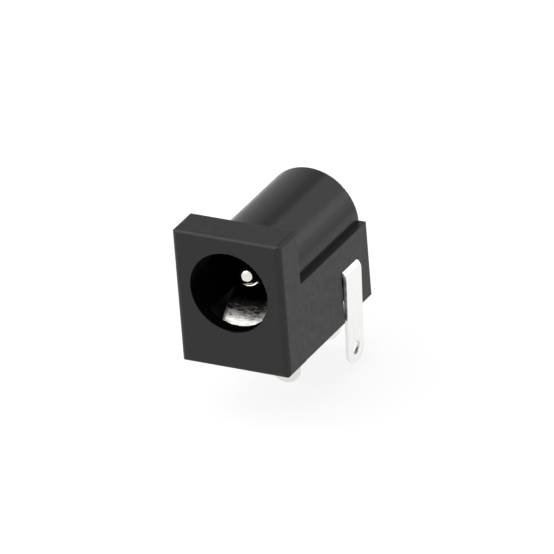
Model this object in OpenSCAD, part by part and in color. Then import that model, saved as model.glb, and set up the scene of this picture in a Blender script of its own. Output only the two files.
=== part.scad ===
// DC barrel jack for a circuit board. A moulded housing carries a round socket with a
// riveted centre pin. A folded spring presses on the plug's sleeve, and a side contact
// rests on that spring until a plug pushes the spring down and away from it.
//
// Y runs from the front face to the back, Z is up, and Z = 0 is the board.

/* [Housing] */
// Width of the front flange
flange_w = 9.2; // [8.8:0.1:9.6]
// Height of the flange above the board
flange_h = 11.12; // [10.8:0.02:11.6]
// Thickness of the flange, front to back
flange_t = 2.98; // [2.8:0.02:3.6]
// Rounding of the flange's upright front edges
flange_side_r = 0.5; // [0.2:0.05:0.6]
// Rounding of the flange's top front edge
flange_top_r = 0.28; // [0.1:0.02:0.4]
// Rounding of the flange's top corners, seen from the front
flange_corner_r = 0.36; // [0.2:0.02:0.5]
// Rounding of the flange's edges next to the board
flange_foot_r = 0.2; // [0.1:0.02:0.28]
// Rounding of the flange's rear edges
flange_rear_r = 0.12; // [0.05:0.01:0.2]
// How far the flange stands out past each side of the body
flange_step = 0.1; // [0.02:0.02:0.2]
// Length of the moulding, front face to back face
housing_l = 14; // [13.6:0.1:14.8]
// Rounding of the body's upright rear edges and its lower side edges
body_r = 0.08; // [0.04:0.02:0.3]
// Outside diameter of the barrel
barrel_d = 7.86; // [7.7:0.02:8]
// Rounding of the barrel's rear rim
barrel_r = 0.15; // [0.05:0.05:0.3]
// Lift of the underside behind the side window
heel_lift = 0.3; // [0.1:0.1:0.6]

/* [Socket] */
// Height of the socket's axis above the board
axis_h = 6.5; // [6.4:0.05:6.7]
// Diameter of the socket
socket_d = 6.5; // [6.3:0.05:6.6]
// Length of the full ring at the socket's mouth
collar_l = 1; // [0.8:0.1:1.4]
// How much wider the socket is behind the collar, each side
collar_step = 0.17; // [0.16:0.01:0.25]
// Rounding of the socket's rim
rim_r = 0.12; // [0.05:0.01:0.2]
// Thickness of the wall that carries the pin
rear_wall_t = 2; // [1.8:0.1:2.4]
// Width of the spring's pocket under the socket
pocket_w = 4.9; // [4.8:0.05:5]
// Depth of the grooves for the spring's ears, each side
ear_groove = 0.2; // [0.1:0.05:0.3]

/* [Side window] */
// Front edge of the window for the side contact
window_y = 9.48; // [9.4:0.02:9.6]
// Length of the window, front to back
window_l = 2.74; // [2.7:0.02:2.9]
// Height of the window's top edge above the board
window_h = 4.34; // [4.32:0.02:4.6]

/* [Pin] */
// Diameter of the centre pin
pin_d = 2; // [1.9:0.05:2.1]
// Depth of the pin's tip behind the front face
pin_tip = 2.45; // [1.8:0.05:3]
// Diameter of the pin's flange in the rear wall
pin_flange_d = 2.9; // [2.6:0.1:3.2]
// Thickness of the pin's flange
pin_flange_t = 1.1; // [0.8:0.1:1.3]
// Diameter of the tail through the wall and the terminal
tail_d = 1.4; // [1.2:0.1:1.6]
// Diameter of the rivet head
rivet_d = 2.5; // [2.2:0.1:2.8]
// Height of the rivet head
rivet_h = 0.35; // [0.25:0.05:0.5]

/* [Contacts] */
// Thickness of the terminals and springs
strip_t = 0.3; // [0.26:0.02:0.32]
// Width of the spring's terminal and of the side one
blade_w = 2.5; // [2.3:0.1:2.6]
// Width of the rear terminal
rear_blade_w = 3; // [2.8:0.1:3.2]
// Diameter of the wire hole in each terminal
wire_hole_d = 1.1; // [0.8:0.1:1.2]
// Width of the spring's contact leaf
leaf_w = 4.5; // [4.3:0.1:4.6]
// Distance from the front face to the spring's terminal
spring_blade_y = 7.6; // [7.4:0.1:7.8]
// How far the spring's terminal reaches below the board's face
spring_blade_drop = 4.93; // [3.5:0.01:5]
// How far the side terminal reaches below the board's face
side_blade_drop = 4; // [3.4:0.1:4.2]
// Lean of the side terminal, inwards at its tip, in degrees
side_lean = 2.5; // [1:0.5:3]
// How far the rear terminal reaches below the board's face
rear_blade_drop = 4.5; // [3.5:0.1:4.8]

/* [Hidden] */

$fn = 96;
// Overrun of a cut past the face that it opens
over = 1;
// Largest turn between two edges along a strip's bend
bend_step = 4;

body_w = flange_w - 2 * flange_step;
cavity_end = housing_l - rear_wall_t;
window_end = window_y + window_l;
// The barrel stops a hair short of the body's back face
barrel_end = housing_l - 0.04;

// The spring's lower leg: its underside's height and its front bend
leg_z = 1.2;
leg_top = leg_z + strip_t;
front_bend_y = 2.52;
front_bend_r = 0.27;
terminal_bend_r = 0.3;
// Ears on the lower leg, which stop against the top of their grooves
ear_y = 4;
ear_l = 2.6;
ear_w = pocket_w + 2 * ear_groove;
// The leaf's slope behind the front bend, where its curve tightens, and past its crest
rise_angle = 42;
crest_angle = 31;
fall_angle = 11;
rise_l = 0.54;
rise_r = 13.85;
crest_r = 2.85;
settle_r = 0.85;
pad_end_y = 11.85;

// The side contact: its tab's underside and inner end, and where it bends down
tab_z = 4;
tab_x = 1.95;
tab_bend_x = 4.118;
tab_bend_r = 0.4;
// The tab's finger over the spring's pad, and the ears that hold it in the window
finger_y = 10.1;
finger_w = 1.6;
tab_ear_x = 2.7;
tab_ear_l = 1.1;
side_blade_y = 9.65;

// Head of the rear terminal round the rivet
rear_head_d = 4.4;

// The same bends measured to the middle of the strip
half_t = strip_t / 2;
front_mid_r = front_bend_r + half_t;
rise_mid_r = rise_r + half_t;
crest_mid_r = crest_r + half_t;
settle_mid_r = settle_r + half_t;
// Height that the leaf gains up to the end of its crest, above the middle of the lower leg
leaf_gain = front_mid_r * (1 + cos(rise_angle)) + rise_l * sin(rise_angle)
  + rise_mid_r * (cos(crest_angle) - cos(rise_angle))
  + crest_mid_r * (cos(fall_angle) - cos(crest_angle));
// From there it falls until its level pad lies against the side contact
leaf_fall = leg_z + leaf_gain + strip_t - tab_z - settle_mid_r * (1 - cos(fall_angle));
fall_l = leaf_fall / sin(fall_angle);
// Where the pad starts, counted back from the front bend's centre
pad_y = front_bend_y - front_mid_r * sin(rise_angle) + rise_l * cos(rise_angle)
  + rise_mid_r * (sin(rise_angle) - sin(crest_angle))
  + crest_mid_r * (sin(crest_angle) + sin(fall_angle))
  + fall_l * cos(fall_angle) + settle_mid_r * sin(fall_angle);
pad_l = pad_end_y - pad_y;

// Extrudes an outline drawn in X and Z along Y
module along_y(from, to) {
  translate([0, to, 0]) rotate([90, 0, 0]) linear_extrude(to - from) children();
}

// Extrudes an outline drawn in Y and Z along X
module along_x(from, to) {
  translate([from, 0, 0]) rotate([90, 0, 90]) linear_extrude(to - from) children();
}

// Extrudes an outline drawn in X and Y along Z
module along_z(from, to) {
  translate([0, 0, from]) linear_extrude(to - from) children();
}

// Revolves an outline drawn as radius and depth round the socket's axis
module round_axis() {
  translate([0, 0, axis_h]) rotate([-90, 0, 0]) rotate_extrude() children();
}

// What a rounding of radius r takes off a corner whose sides run along +X and +Y
module corner_cut(r) {
  difference() {
    translate([-over, -over]) square(r + over);
    translate([r, r]) circle(r);
    translate([r, -2 * over]) square(r + over);
    translate([-2 * over, r]) square(r + over);
  }
}

// Rectangle between two corners. Each corner has its own rounding, counted
// anticlockwise from the lower left one, and 0 leaves it sharp
module rounded(lo, hi, radii) {
  corners = [lo, [hi[0], lo[1]], hi, [lo[0], hi[1]]];
  difference() {
    translate(lo) square(hi - lo);
    for (i = [0:3])
      if (radii[i] > 0) translate(corners[i]) rotate(90 * i) corner_cut(radii[i]);
  }
}

// Unit vectors along a heading and to the left of it
function ahead(a) = [cos(a), sin(a)];
function leftward(a) = [-sin(a), cos(a)];

// Points and headings along the middle of a folded strip. Each leg is a straight run and
// then a bend, written as [length, angle turned to the left, inside radius]
function stations(legs, at = [0, 0], a = 0, i = 0) =
  i == len(legs) ? [[at, a]] :
  let (
    leg = legs[i],
    turn = leg[1],
    r = sign(turn) * (leg[2] + half_t),
    start = at + leg[0] * ahead(a),
    centre = start + r * leftward(a),
    steps = ceil(abs(turn) / bend_step),
    run = leg[0] > 0 ? [[at, a]] : [],
    bend = [for (k = [0:1:steps - 1]) [centre - r * leftward(a + turn * k / steps), a + turn * k / steps]]
  )
  concat(run, bend, stations(legs, centre - r * leftward(a + turn), a + turn, i + 1));

// Side view of a folded strip
module folded_strip(legs) {
  path = stations(legs);
  polygon([
    for (s = path) s[0] + half_t * leftward(s[1]),
    for (k = [1:len(path)]) path[len(path) - k][0] - half_t * leftward(path[len(path) - k][1])
  ]);
}

// Terminal blade hanging down from height top, with a round tip and a wire hole
module blade(width, drop, top) {
  r = width / 2;
  difference() {
    union() {
      translate([-r, r - drop]) square([width, top + drop - r]);
      translate([0, r - drop]) circle(r);
    }
    translate([0, r - drop]) circle(d = wire_hole_d);
  }
}

// Front flange, body and barrel, before the socket is hollowed out
module housing_block() {
  half_w = flange_w / 2;
  half_body = body_w / 2;
  // Flange: its front, plan and side outlines meet in the rounded edges
  intersection() {
    along_y(0, flange_t)
      rounded([-half_w, 0], [half_w, flange_h],
        [flange_foot_r, flange_foot_r, flange_corner_r, flange_corner_r]);
    along_z(0, flange_h)
      rounded([-half_w, 0], [half_w, flange_t],
        [flange_side_r, flange_side_r, flange_rear_r, flange_rear_r]);
    along_x(-half_w, half_w)
      rounded([0, 0], [flange_t, flange_h], [flange_foot_r, 0, flange_rear_r, flange_top_r]);
  }
  // Body: flat on top at the height of the socket's axis
  intersection() {
    along_y(flange_t / 2, housing_l)
      rounded([-half_body, 0], [half_body, axis_h], [body_r, body_r, 0, 0]);
    along_z(0, axis_h)
      rounded([-half_body, 0], [half_body, housing_l], [0, 0, body_r, body_r]);
  }
  // Barrel: its lower half runs on down inside the body
  round_axis()
    rounded([0, flange_t / 2], [barrel_d / 2, barrel_end], [0, 0, barrel_r, 0]);
}

// Socket with its rounded rim, and the wider keyhole behind the collar
module socket_hollow() {
  r = socket_d / 2;
  along_y(-over, cavity_end) translate([0, axis_h]) circle(r);
  along_y(collar_l, cavity_end) translate([0, axis_h]) circle(r + collar_step);
  round_axis()
    difference() {
      translate([0, -over]) square([r + rim_r, over + rim_r]);
      translate([r + rim_r, rim_r]) circle(rim_r);
      translate([r + rim_r, -2 * over]) square([over, 2 * over]);
    }
  along_y(collar_l, cavity_end)
    translate([-pocket_w / 2, -over]) square([pocket_w, axis_h + over]);
}

module housing() {
  color("#1c1c1d")
    difference() {
      housing_block();
      socket_hollow();
      // Grooves for the spring's ears, closed at the top
      translate([-ear_w / 2, ear_y, -over]) cube([ear_w, ear_l, over + leg_top]);
      // Window that the side contact is bent through
      translate([pocket_w / 2 - over, window_y, -over])
        cube([flange_w / 2 + over, window_l, over + window_h]);
      // The heel behind the window stands clear of the board
      translate([-flange_w, window_end, -over])
        cube([2 * flange_w, housing_l, over + heel_lift]);
      // Stepped seat for the pin
      along_y(cavity_end - over, cavity_end + pin_flange_t)
        translate([0, axis_h]) circle(d = pin_flange_d);
      along_y(cavity_end, housing_l + over)
        translate([0, axis_h]) circle(d = tail_d);
    }
}

// Turned pin: domed nose, shank, flange in the rear wall, tail and rivet head
module centre_pin() {
  r = pin_d / 2;
  tail_r = tail_d / 2;
  head_r = rivet_d / 2;
  flange_end = cavity_end + pin_flange_t;
  terminal_back = housing_l + strip_t;
  // Radius of the rivet head's crown
  crown_r = (head_r * head_r + rivet_h * rivet_h) / (2 * rivet_h);
  color("#d8d4cb")
    round_axis() {
      // Round nose, which guides the plug's hole over the pin
      intersection() {
        translate([0, pin_tip + r]) circle(r);
        translate([0, pin_tip]) square([r, r]);
      }
      translate([0, pin_tip + r]) square([r, cavity_end - pin_tip - r]);
      translate([0, cavity_end]) square([pin_flange_d / 2, pin_flange_t]);
      translate([0, flange_end]) square([tail_r, terminal_back - flange_end]);
      intersection() {
        translate([0, terminal_back + rivet_h - crown_r]) circle(crown_r);
        translate([0, terminal_back]) square([head_r, rivet_h]);
      }
    }
}

// Spring: terminal, lower leg, front bend, and the leaf that the plug's sleeve rides on
module sleeve_spring() {
  blade_mid_y = spring_blade_y + half_t;
  leg_mid_z = leg_z + half_t;
  terminal_rise = leg_mid_z - terminal_bend_r - half_t;
  lower_run = blade_mid_y - terminal_bend_r - half_t - front_bend_y;
  // Turn from the lower leg, which runs to the front, up and back into the leaf
  front_turn = rise_angle - 180;
  color("#d9d2c4")
    intersection() {
      along_x(-ear_w / 2, ear_w / 2)
        translate([blade_mid_y, -spring_blade_drop]) rotate(90)
          folded_strip([
            [spring_blade_drop + terminal_rise, 90, terminal_bend_r],
            [lower_run, front_turn, front_bend_r],
            [rise_l, crest_angle - rise_angle, rise_r],
            [0, -crest_angle - fall_angle, crest_r],
            [fall_l, fall_angle, settle_r],
            [pad_l, 0, 0]
          ]);
      along_y(0, housing_l) {
        blade(blade_w, spring_blade_drop, leg_mid_z);
        translate([-leaf_w / 2, terminal_rise]) square([leaf_w, axis_h]);
        translate([-ear_w / 2, terminal_rise]) square([ear_w, leg_top - terminal_rise]);
      }
      along_z(-spring_blade_drop, axis_h) {
        translate([-leaf_w / 2, 0]) square([leaf_w, housing_l]);
        translate([-ear_w / 2, ear_y]) square([ear_w, ear_l]);
      }
    }
}

// Side contact: blade outside the wall, bent in through the window over the spring
module side_contact() {
  blade_mid_y = side_blade_y + blade_w / 2;
  bend_z = tab_z - tab_bend_r;
  blade_run = (bend_z + side_blade_drop) / cos(side_lean);
  finger_end = finger_y + finger_w;
  ear_end = tab_ear_x + tab_ear_l;
  color("#dcdcda")
    intersection() {
      along_y(window_y, window_end)
        translate([tab_x, tab_z + half_t])
          folded_strip([
            [tab_bend_x - tab_x, -90 - side_lean, tab_bend_r],
            [blade_run, 0, 0]
          ]);
      along_z(-side_blade_drop, window_h) {
        translate([tab_x, finger_y]) square([tab_ear_x - tab_x, finger_w]);
        translate([tab_ear_x, window_y]) square([tab_ear_l, window_l]);
        translate([ear_end, side_blade_y]) square([flange_w, blade_w]);
      }
      along_x(0, flange_w) {
        translate([blade_mid_y, 0]) blade(blade_w, side_blade_drop, tab_z);
        translate([window_y, tab_z]) square([window_l, strip_t]);
      }
    }
}

// Rear terminal: flat plate under the rivet head, with its blade below the housing
module rear_terminal() {
  color("#dcdcda")
    along_y(housing_l, housing_l + strip_t)
      difference() {
        union() {
          blade(rear_blade_w, rear_blade_drop, axis_h);
          translate([0, axis_h]) circle(d = rear_head_d);
        }
        translate([0, axis_h]) circle(d = tail_d);
      }
}

housing();
centre_pin();
sleeve_spring();
side_contact();
rear_terminal();
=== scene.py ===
import math
import bmesh
import bpy
from mathutils import Matrix, Vector


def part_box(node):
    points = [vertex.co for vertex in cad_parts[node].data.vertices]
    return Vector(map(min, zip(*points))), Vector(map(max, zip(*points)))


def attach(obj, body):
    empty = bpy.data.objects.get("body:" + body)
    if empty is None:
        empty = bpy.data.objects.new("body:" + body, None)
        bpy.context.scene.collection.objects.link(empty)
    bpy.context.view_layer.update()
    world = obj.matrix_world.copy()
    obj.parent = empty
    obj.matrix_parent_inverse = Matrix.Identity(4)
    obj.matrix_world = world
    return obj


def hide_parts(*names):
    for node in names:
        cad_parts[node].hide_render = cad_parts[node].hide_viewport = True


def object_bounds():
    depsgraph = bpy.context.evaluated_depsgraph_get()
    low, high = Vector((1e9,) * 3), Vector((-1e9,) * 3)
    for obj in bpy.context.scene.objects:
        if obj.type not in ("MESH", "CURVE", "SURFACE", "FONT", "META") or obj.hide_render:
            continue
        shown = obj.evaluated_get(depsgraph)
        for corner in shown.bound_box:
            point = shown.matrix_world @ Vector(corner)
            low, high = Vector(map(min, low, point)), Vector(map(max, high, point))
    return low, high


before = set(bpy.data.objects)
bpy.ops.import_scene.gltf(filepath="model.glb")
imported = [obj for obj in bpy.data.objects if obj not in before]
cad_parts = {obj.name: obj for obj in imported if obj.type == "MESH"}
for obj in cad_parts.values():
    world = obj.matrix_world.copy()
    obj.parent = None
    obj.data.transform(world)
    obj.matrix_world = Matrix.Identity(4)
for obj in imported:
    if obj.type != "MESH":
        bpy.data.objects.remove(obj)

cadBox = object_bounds()
mm = 0.001
noiseSpan = (0.3, 0.7)   # where most of a noise's values lie


# small helpers for shader nodes

def newMaterial(name):
    mat = bpy.data.materials.new(name)
    mat.use_nodes = True
    nodes = mat.node_tree.nodes
    return mat, nodes, mat.node_tree.links, nodes["Principled BSDF"]


def setSockets(node, values):
    for socket, value in values.items():
        node.inputs[socket].default_value = value


def addNode(nodes, kind, settings=None, sockets=None):
    node = nodes.new(kind)
    for key, value in (settings or {}).items():
        setattr(node, key, value)
    setSockets(node, sockets or {})
    return node


def partCoords(nodes, links, stretch=(1, 1, 1)):
    # the part's own coordinates in millimetres; a smaller stretch draws the grain out along that axis
    coord = addNode(nodes, "ShaderNodeTexCoord")
    scaled = addNode(nodes, "ShaderNodeMapping", sockets={"Scale": [s / mm for s in stretch]})
    links.new(coord.outputs["Object"], scaled.inputs["Vector"])
    return scaled.outputs["Vector"]


def partAxes(nodes, links, coords):
    split = addNode(nodes, "ShaderNodeSeparateXYZ")
    links.new(coords, split.inputs["Vector"])
    return split.outputs


def noiseHeight(nodes, links, coords, scale, detail=2.0, roughness=0.5):
    noise = addNode(nodes, "ShaderNodeTexNoise",
                    sockets={"Scale": scale, "Detail": detail, "Roughness": roughness})
    links.new(coords, noise.inputs["Vector"])
    return noise.outputs["Fac"]


def mapRange(nodes, links, value, fromRange, toRange):
    # spreads a stretch of a value over another range and clamps it there
    node = addNode(nodes, "ShaderNodeMapRange", sockets={
        "From Min": fromRange[0], "From Max": fromRange[1],
        "To Min": toRange[0], "To Max": toRange[1]})
    links.new(value, node.inputs["Value"])
    return node.outputs["Result"]


def combine(nodes, links, operation, first, second):
    node = addNode(nodes, "ShaderNodeMath", {"operation": operation})
    links.new(first, node.inputs[0])
    links.new(second, node.inputs[1])
    return node.outputs["Value"]


def addBump(nodes, links, height, depth, under=None):
    bump = addNode(nodes, "ShaderNodeBump", sockets={"Strength": 1.0, "Distance": depth})
    links.new(height, bump.inputs["Height"])
    if under is not None:
        links.new(under, bump.inputs["Normal"])
    return bump.outputs["Normal"]


# camera: long lens, slightly tipped

cameraSetup = {
    "aim": (0.302, 6.999, 4.482),    # point on the lens axis, mm in the part's frame
    "azimuth": 29.518,              # degrees round from the front, towards the side terminal
    "elevation": 27.229,            # degrees above the board
    "roll": -4.685,                 # degrees, right end of the view down
    "distance": 909.9,              # mm from the aim point
    "lens": 779.78,                 # mm on a 36 mm sensor
}


def makeCamera(setup):
    azimuth, elevation, roll = (math.radians(setup[k]) for k in ("azimuth", "elevation", "roll"))
    back = Vector((math.sin(azimuth) * math.cos(elevation),
                   -math.cos(azimuth) * math.cos(elevation), math.sin(elevation)))
    levelRight = Vector((math.cos(azimuth), math.sin(azimuth), 0))
    levelUp = back.cross(levelRight)
    right = levelRight * math.cos(roll) + levelUp * math.sin(roll)
    up = back.cross(right)
    data = bpy.data.cameras.new("camera")
    data.sensor_width = 36
    data.lens = setup["lens"]
    data.clip_start = 0.05
    data.clip_end = 20
    camera = bpy.data.objects.new("camera", data)
    place = Vector(setup["aim"]) * mm + back * setup["distance"] * mm
    camera.matrix_world = Matrix.Translation(place) @ Matrix((right, up, back)).transposed().to_4x4()
    bpy.context.scene.collection.objects.link(camera)
    bpy.context.scene.camera = camera


makeCamera(cameraSetup)

# tones: dark ones are kept, and anything from the last point up prints white
toneCurve = [(0, 0), (0.10, 0.10), (0.30, 0.315), (0.55, 0.65), (0.80, 1.0)]


def setTones(points):
    settings = bpy.context.scene.view_settings
    settings.view_transform = "Standard"
    settings.use_curve_mapping = True
    curve = settings.curve_mapping.curves[3]
    for place, value in points[1:-1]:
        curve.points.new(place, value)
    curve.points[-1].location = points[-1]
    settings.curve_mapping.update()


setTones(toneCurve)
print("camera set")


# studio: white surround and a pale floor under the terminals

studio = {
    "frontLevel": 0.80,                  # brightness of the surround in front of the part
    "backLevel": 0.50,                   # and behind it
    "turnOver": (-0.5, 0.3),             # how far back the surround changes from one to the other
    "panelLevel": 0.55,                  # added by the bright panel behind on the right
    "panelEdge": (-0.02, 0.03),          # its left edge
    "panelFoot": (-0.14, 0.0),           # its lower edge
    "panelStart": (0.45, 0.60),          # how far back it begins
    "leftLift": 0.06,                    # behind on the left the surround is a little brighter
    "flagDrop": 0.10,                    # and it darkens just before the panel's edge
    "flagSpan": (-0.42, -0.12),
    "floorColour": (0.14, 0.14, 0.14, 1),
    "floorGlow": 0.68,
    "floorSize": 0.17,
}

# soft boxes: centre and where the middle aims, in metres, then width, height and brightness
softBoxes = {
    "overhead": {"place": (-0.25, -0.22, 0.50), "size": (0.90, 0.75), "level": 1.35},
    "backRightGlow": {"place": (0.62, 0.78, 0.30), "size": (0.24, 0.26), "level": 0.60},
}


def makeSurround(setup):
    world = bpy.data.worlds.new("surround")
    bpy.context.scene.world = world
    world.use_nodes = True
    nodes, links = world.node_tree.nodes, world.node_tree.links
    background = nodes["Background"]
    coord = addNode(nodes, "ShaderNodeTexCoord")
    axes = partAxes(nodes, links, coord.outputs["Generated"])
    base = mapRange(nodes, links, axes["Y"], setup["turnOver"], (setup["frontLevel"], setup["backLevel"]))
    behind = mapRange(nodes, links, axes["Y"], setup["panelStart"], (0, 1))
    panel = combine(nodes, links, "MULTIPLY",
                    mapRange(nodes, links, axes["X"], setup["panelEdge"], (0, 1)), behind)
    panel = combine(nodes, links, "MULTIPLY", panel,
                    mapRange(nodes, links, axes["Z"], setup["panelFoot"], (0, setup["panelLevel"])))
    flag = mapRange(nodes, links, axes["X"], setup["flagSpan"], (setup["leftLift"], -setup["flagDrop"]))
    flag = combine(nodes, links, "MULTIPLY", flag, behind)
    lit = combine(nodes, links, "ADD", base, panel)
    links.new(combine(nodes, links, "ADD", lit, flag), background.inputs["Strength"])
    background.inputs["Color"].default_value = (1, 1, 1, 1)


def makeSoftBox(name, setup):
    width, height = setup["size"]
    data = bpy.data.lights.new(name, "AREA")
    data.shape = "RECTANGLE"
    data.size = width
    data.size_y = height
    data.energy = math.pi * width * height * setup["level"]
    box = bpy.data.objects.new(name, data)
    place = Vector(setup["place"])
    turn = place.to_track_quat("Z", "Y").to_matrix().to_4x4()
    box.matrix_world = Matrix.Translation(place) @ turn
    bpy.context.scene.collection.objects.link(box)


def makeFloor(setup, height):
    half = setup["floorSize"] / 2
    mesh = bpy.data.meshes.new("floor")
    mesh.from_pydata([(-half, -half, height), (half, -half, height),
                      (half, half, height), (-half, half, height)], [], [(0, 1, 2, 3)])
    floor = bpy.data.objects.new("floor", mesh)
    bpy.context.scene.collection.objects.link(floor)
    mat, nodes, links, shader = newMaterial("paleFloor")
    setSockets(shader, {"Base Color": setup["floorColour"], "Roughness": 0.9,
                        "Specular IOR Level": 0.0, "Emission Color": (1, 1, 1, 1),
                        "Emission Strength": setup["floorGlow"]})
    mesh.materials.append(mat)


makeSurround(studio)
for name, setup in softBoxes.items():
    makeSoftBox(name, setup)
makeFloor(studio, cadBox[0].z)
print("studio set")


# housing: fine-grained black moulding

moulding = {
    "colour": (0.004, 0.004, 0.0042, 1),
    "roughness": 0.42,
    "barrelRoughness": 0.24,
    "barrelAbove": (6.55, 6.75),     # the barrel is polished smoother than the flat faces, from here up
    "barrelBehind": (2.98, 3.05),    # and from here back
    "shine": 0.5,
    # painted shade: the socket's inside is coloured darker and given less shine, standing in for its
    # shade
    "hollowShadeColour": (0.0014, 0.0014, 0.0015, 1),
    "hollowShadeShine": 0.03,
    "hollowReach": 3.6,              # everything nearer the socket's middle than this is inside
    "hollowStart": 0.02,             # mm behind the front face
    "hollowStop": 0.35,              # mm before the hindmost face
    "hollowFoot": 0.35,              # mm above the board
    "axisHeight": 6.5,
    "grainSize": 9.0,                # grains per millimetre
    "grainDepth": 0.0016 * mm,
    "waveSize": 0.9,
    "waveDepth": 0.0012 * mm,
    "blotchSize": 1.7,
    "blotchSpread": (0.88, 1.14),    # how far blotches change the roughness
}


def makeMoulding(name, setup, colour, shine):
    mat, nodes, links, shader = newMaterial(name)
    setSockets(shader, {"Base Color": colour, "IOR": 1.5, "Specular IOR Level": shine})
    coords = partCoords(nodes, links)
    axes = partAxes(nodes, links, coords)
    barrel = combine(nodes, links, "MULTIPLY",
                     mapRange(nodes, links, axes["Z"], setup["barrelAbove"], (0, 1)),
                     mapRange(nodes, links, axes["Y"], setup["barrelBehind"], (0, 1)))
    level = mapRange(nodes, links, barrel, (0, 1), (setup["roughness"], setup["barrelRoughness"]))
    blotches = noiseHeight(nodes, links, coords, setup["blotchSize"], 4.0, 0.6)
    spread = mapRange(nodes, links, blotches, noiseSpan, setup["blotchSpread"])
    links.new(combine(nodes, links, "MULTIPLY", level, spread), shader.inputs["Roughness"])
    grain = noiseHeight(nodes, links, coords, setup["grainSize"], 3.0, 0.6)
    slow = noiseHeight(nodes, links, coords, setup["waveSize"])
    waves = addBump(nodes, links, slow, setup["waveDepth"])
    links.new(addBump(nodes, links, grain, setup["grainDepth"], under=waves), shader.inputs["Normal"])
    return mat


def dressHousing(setup):
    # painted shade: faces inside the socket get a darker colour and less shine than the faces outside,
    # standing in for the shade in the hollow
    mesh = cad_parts["housing"].data
    mesh.materials.clear()
    mesh.materials.append(makeMoulding("blackMoulding", setup, setup["colour"], setup["shine"]))
    hollow = makeMoulding("hollowShadeMoulding", setup, setup["hollowShadeColour"], setup["hollowShadeShine"])
    mesh.materials.append(hollow)
    low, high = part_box("housing")
    start, stop = low[1] / mm + setup["hollowStart"], high[1] / mm - setup["hollowStop"]
    for face in mesh.polygons:
        x, y, z = (c / mm for c in face.center)
        within = math.hypot(x, max(z - setup["axisHeight"], 0)) < setup["hollowReach"]
        face.material_index = int(within and start < y < stop and z > setup["hollowFoot"])


# metals

# each: colour, roughness, how the grain lies along X, Y and Z, and its depth
plating = {
    "pin": {"colour": (0.80, 0.78, 0.74, 1), "roughness": 0.06,
            "lines": (1, 1, 1), "depth": 0.0002 * mm},
    "spring": {"colour": (0.82, 0.80, 0.76, 1), "roughness": 0.07,
               "lines": (14, 0.4, 0.4), "depth": 0.0006 * mm},
    "blade": {"colour": (0.90, 0.90, 0.89, 1), "roughness": 0.24,
              "lines": (1, 1, 1), "depth": 0.0002 * mm},
    # the punch leaves the cut edges rough and a little dull
    "sheared": {"colour": (0.86, 0.85, 0.83, 1), "roughness": 0.38,
                "lines": (3, 3, 0.7), "depth": 0.012 * mm},
}
lineSize = 3.0            # lines per millimetre before they are drawn out
cloudSize = 1.3           # and the slow clouds in the roughness
cloudSpread = (0.8, 1.3)

# the leaf is rubbed by the plug, and these are the marks
leafWear = {
    "from": (1.9, 2.4),       # mm behind the front face, where they grow
    "to": (2.9, 4.8),         # and where they fade
    "roughness": 0.54,        # most that they add
    "depth": 0.010 * mm,
    "size": 3.4,
    "stretch": (0.5, 2.2, 1),
}


def makePlating(name, setup):
    mat, nodes, links, shader = newMaterial(name)
    rough = setup["roughness"]
    setSockets(shader, {"Base Color": setup["colour"], "Metallic": 1.0, "Roughness": rough})
    coords = partCoords(nodes, links, setup["lines"])
    lines = noiseHeight(nodes, links, coords, lineSize, 4.0, 0.6)
    links.new(addBump(nodes, links, lines, setup["depth"]), shader.inputs["Normal"])
    cloud = noiseHeight(nodes, links, partCoords(nodes, links), cloudSize, 3.0)
    spread = mapRange(nodes, links, cloud, noiseSpan, [rough * share for share in cloudSpread])
    links.new(spread, shader.inputs["Roughness"])
    return mat


def makeLeafPlating(setup, wear):
    mat = makePlating("platedSpring", setup)
    nodes, links = mat.node_tree.nodes, mat.node_tree.links
    shader = nodes["Principled BSDF"]
    axes = partAxes(nodes, links, partCoords(nodes, links))
    worn = combine(nodes, links, "MULTIPLY",
                   mapRange(nodes, links, axes["Y"], wear["from"], (0, 1)),
                   mapRange(nodes, links, axes["Y"], wear["to"], (1, 0)))
    marks = noiseHeight(nodes, links, partCoords(nodes, links, wear["stretch"]), wear["size"], 5.0, 0.72)
    rubbed = combine(nodes, links, "MULTIPLY", worn,
                     mapRange(nodes, links, marks, noiseSpan, (0, wear["roughness"])))
    clean = shader.inputs["Roughness"].links[0].from_socket
    links.new(combine(nodes, links, "ADD", clean, rubbed), shader.inputs["Roughness"])
    under = shader.inputs["Normal"].links[0].from_socket
    scuffs = combine(nodes, links, "MULTIPLY", worn, marks)
    links.new(addBump(nodes, links, scuffs, wear["depth"], under=under), shader.inputs["Normal"])
    return mat


def dress(node, mat):
    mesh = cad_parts[node].data
    mesh.materials.clear()
    mesh.materials.append(mat)


# pressed strips: each is cut flat, its edges eased, then folded along a path

pressing = {
    "easing": 0.03,          # mm taken off every edge
    "easingSteps": 2,
    "foldStep": 3,           # degrees of a bend between two cuts across it
    "sharpAngle": 40,        # degrees, above which an edge is shaded as a corner
    "cornerAngle": 1.2,      # radians, above which an edge is one to ease
    "dishCuts": 60,          # cuts along a hollow, and on each side of its middle
    "dishRows": 8,
}


def pathPieces(legs, heading):
    # [length, turn to the left in degrees, radius of the middle] for each leg, laid end to end
    pieces, at, angle, run = [], Vector((0, 0)), math.radians(heading), 0.0
    for length, turn, radius in legs:
        pieces.append((run, run + length, at.copy(), angle, 0.0))
        at += Vector((math.cos(angle), math.sin(angle))) * length
        run += length
        if turn:
            bend = math.radians(turn)
            curve = math.copysign(1 / radius, turn)
            arc = abs(bend) * radius
            pieces.append((run, run + arc, at.copy(), angle, curve))
            centre = at + Vector((-math.sin(angle), math.cos(angle))) / curve
            angle += bend
            at = centre - Vector((-math.sin(angle), math.cos(angle))) / curve
            run += arc
    return pieces


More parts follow.
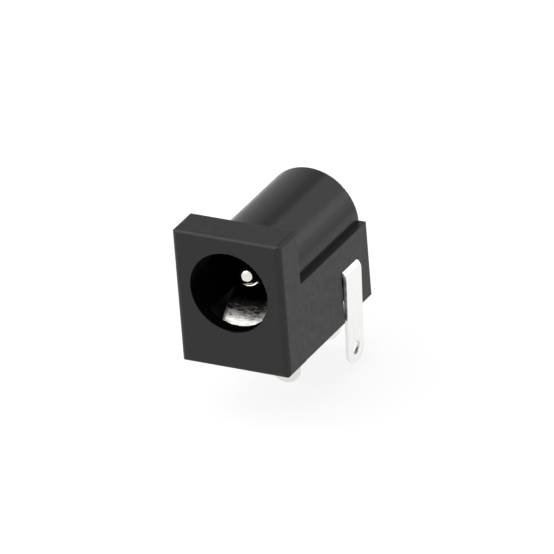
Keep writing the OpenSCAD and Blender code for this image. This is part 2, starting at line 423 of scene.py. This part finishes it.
def onPath(pieces, run):
    piece = next((p for p in pieces if run <= p[1]), pieces[-1])
    start, end, at, angle, curve = piece
    far = run - start
    if curve:
        centre = at + Vector((-math.sin(angle), math.cos(angle))) / curve
        angle = angle + far * curve
        at = centre - Vector((-math.sin(angle), math.cos(angle))) / curve
    else:
        at = at + Vector((math.cos(angle), math.sin(angle))) * far
    return at, Vector((-math.sin(angle), math.cos(angle)))


def ring(centre, radius, count=40):
    return [(centre[0] + radius * math.cos(2 * math.pi * k / count),
             centre[1] + radius * math.sin(2 * math.pi * k / count)) for k in range(count)]


def roundTip(radius, count=24):
    # the blank's round end, from one corner round to the other
    return [(radius - radius * math.sin(math.pi * k / count), -radius * math.cos(math.pi * k / count))
            for k in range(count, -1, -1)]


def cutBlank(outline, hole, thick):
    blank = bmesh.new()
    for loop in (outline, hole):
        verts = [blank.verts.new((x, y, -thick / 2)) for x, y in loop]
        for k, vert in enumerate(verts):
            blank.edges.new((vert, verts[(k + 1) % len(verts)]))
    bmesh.ops.triangle_fill(blank, edges=blank.edges[:], use_beauty=True)
    grown = bmesh.ops.extrude_face_region(blank, geom=blank.faces[:])
    for item in grown["geom"]:
        if isinstance(item, bmesh.types.BMVert):
            item.co.z += thick
    bmesh.ops.recalc_face_normals(blank, faces=blank.faces[:])
    for face in blank.faces:
        face.material_index = int(abs(face.normal.z) < 0.5)   # the cut sides take the second material
    rims = [e for e in blank.edges
            if len(e.link_faces) == 2 and e.calc_face_angle() > pressing["cornerAngle"]
            and abs(e.verts[0].co.z - e.verts[1].co.z) < 1e-6]
    bmesh.ops.bevel(blank, geom=rims, offset=pressing["easing"], segments=pressing["easingSteps"],
                    affect="EDGES", profile=0.5)
    return blank


def cutAcross(blank, axis, places):
    normal = Vector((0, 0, 0))
    normal[axis] = 1
    for place in places:
        at = Vector((0, 0, 0))
        at[axis] = place
        bmesh.ops.bisect_plane(blank, geom=blank.verts[:] + blank.edges[:] + blank.faces[:],
                               dist=1e-5, plane_co=at, plane_no=normal)


def easeIn(value, ends):
    # climbs smoothly from 0 at the first end to 1 at the second
    part = min(max((value - ends[0]) / (ends[1] - ends[0]), 0.0), 1.0)
    return part * part * (3 - 2 * part)


def foldStrip(node, mat, edgeMat, setup, outline, across):
    # across says whether the strip's width lies along X, 0, or Y, 1; its path is in the other plane
    pieces, dish = pathPieces(setup["legs"], setup["heading"]), setup.get("dish")
    blank = cutBlank(outline, ring(setup["hole"], setup["holeSize"] / 2), setup["thick"])
    cuts = []
    for start, end, _, _, curve in pieces:
        steps = max(1, math.ceil(abs((end - start) * curve) / math.radians(pressing["foldStep"])))
        cuts += [start + (end - start) * k / steps for k in range(steps + 1)]
    if dish:
        start, end = dish["grow"][0], dish["fade"][1]
        count, rows = pressing["dishCuts"], pressing["dishRows"]
        cuts += [start + (end - start) * k / count for k in range(count + 1)]
        cutAcross(blank, 1, [dish["half"] * k / rows for k in range(1 - rows, rows)])
    cutAcross(blank, 0, sorted(set(round(c, 4) for c in cuts)))
    for vert in blank.verts:
        run, side, lift = vert.co
        if dish:
            swell = easeIn(run - dish["skew"] * side, dish["grow"]) * (1 - easeIn(run, dish["fade"]))
            lift -= dish["depth"] * swell * (1 - (side / dish["half"]) ** 2)
        at, up = onPath(pieces, run)
        spot = at + up * lift
        vert.co = (side, spot.x, spot.y) if across == 0 else (spot.x, side, spot.y)
    bmesh.ops.recalc_face_normals(blank, faces=blank.faces[:])
    # centred on the node across its width, and set against the node's low corner the other two ways
    low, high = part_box(node)
    foot, top = [[pick(v.co[k] for v in blank.verts) for k in range(3)] for pick in (min, max)]
    for vert in blank.verts:
        for k in range(3):
            if k == across:
                vert.co[k] = (vert.co[k] - (foot[k] + top[k]) / 2) * mm + (low[k] + high[k]) / 2
            else:
                vert.co[k] = (vert.co[k] - foot[k]) * mm + low[k]
    mesh = bpy.data.meshes.new(node + "Strip")
    blank.to_mesh(mesh)
    blank.free()
    for face in mesh.polygons:
        face.use_smooth = True
    mesh.set_sharp_from_angle(angle=math.radians(pressing["sharpAngle"]))
    strip = bpy.data.objects.new(node + "Strip", mesh)
    bpy.context.scene.collection.objects.link(strip)
    strip.modifiers.new("evenShading", "WEIGHTED_NORMAL").keep_sharp = True
    mesh.materials.append(mat)
    mesh.materials.append(edgeMat)
    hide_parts(node)
    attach(strip, "root")


spring = {
    "thick": 0.3,
    "heading": 90,             # the first leg sets off along Z
    # length, turn and middle radius of each leg, from the terminal's tip to the pad
    "legs": [(5.83, 90, 0.45), (4.78, -135.5, 0.42), (0.75, -9.5, 6.15), (0, -4, 14.0),
             (0.49, -42, 3.0), (2.85, 11, 1.0), (1.94, 0, 1)],
    "hole": (1.25, 0),         # along the path and off its middle
    "holeSize": 1.1,
    "terminalWidth": 2.5,
    "leafWidth": 4.5,
    "earsWidth": 5.3,
    "terminalLength": 5.83,
    "ears": (7.237, 9.837),    # from and to, along the path
    # the leaf is hollowed across, to lie against a round sleeve
    "dish": {
        "grow": (11.7, 12.9),  # along the path, where the hollow deepens
        "fade": (15.6, 18.8),  # and where it goes again
        "half": 2.25,
        "depth": 0.17,
        "skew": 0.15,          # it starts this much later for each mm across
    },
}

sideContact = {
    "thick": 0.3,
    "heading": 0,
    "legs": [(2.168, -92.5, 0.55), (7.607, 0, 1)],
    "holeSize": 1.1,
    "fingerWidth": 1.6,
    "bladeWidth": 2.5,
    "ears": (0.75, 1.85),
    "earFront": 1.42,          # how far each ear reaches from the middle
    "earBack": 1.32,
}


def pathLength(setup):
    return sum(length + abs(math.radians(turn)) * radius for length, turn, radius in setup["legs"])


def springOutline(setup):
    tip, half, ear = setup["terminalWidth"] / 2, setup["leafWidth"] / 2, setup["earsWidth"] / 2
    start, (earStart, earStop) = setup["terminalLength"], setup["ears"]
    right = [(start, tip), (start, half), (earStart, half), (earStart, ear),
             (earStop, ear), (earStop, half), (pathLength(setup), half)]
    left = [(x, -y) for x, y in reversed(right)]
    return roundTip(tip)[::-1] + right + left


def sideOutline(setup):
    finger, half, total = setup["fingerWidth"] / 2, setup["bladeWidth"] / 2, pathLength(setup)
    (start, stop), front, back = setup["ears"], -setup["earFront"], setup["earBack"]
    tip = [(total - x, y) for x, y in reversed(roundTip(half))]
    return ([(0, -finger), (start, -finger), (start, front), (stop, front), (stop, -half)] + tip
            + [(stop, half), (stop, back), (start, back), (start, finger), (0, finger)])


dressHousing(moulding)
print("housing finished")
dress("centre_pin", makePlating("nickelPin", plating["pin"]))
bladeTin = makePlating("tinnedBlade", plating["blade"])
dress("rear_terminal", bladeTin)
print("pin and rear terminal finished")
shearedEdge = makePlating("shearedEdge", plating["sheared"])
leafPlating = makeLeafPlating(plating["spring"], leafWear)
foldStrip("sleeve_spring", leafPlating, shearedEdge, spring, springOutline(spring), 0)
sideContact["hole"] = (pathLength(sideContact) - sideContact["bladeWidth"] / 2, 0)
foldStrip("side_contact", bladeTin, shearedEdge, sideContact, sideOutline(sideContact), 1)
print("strips folded")
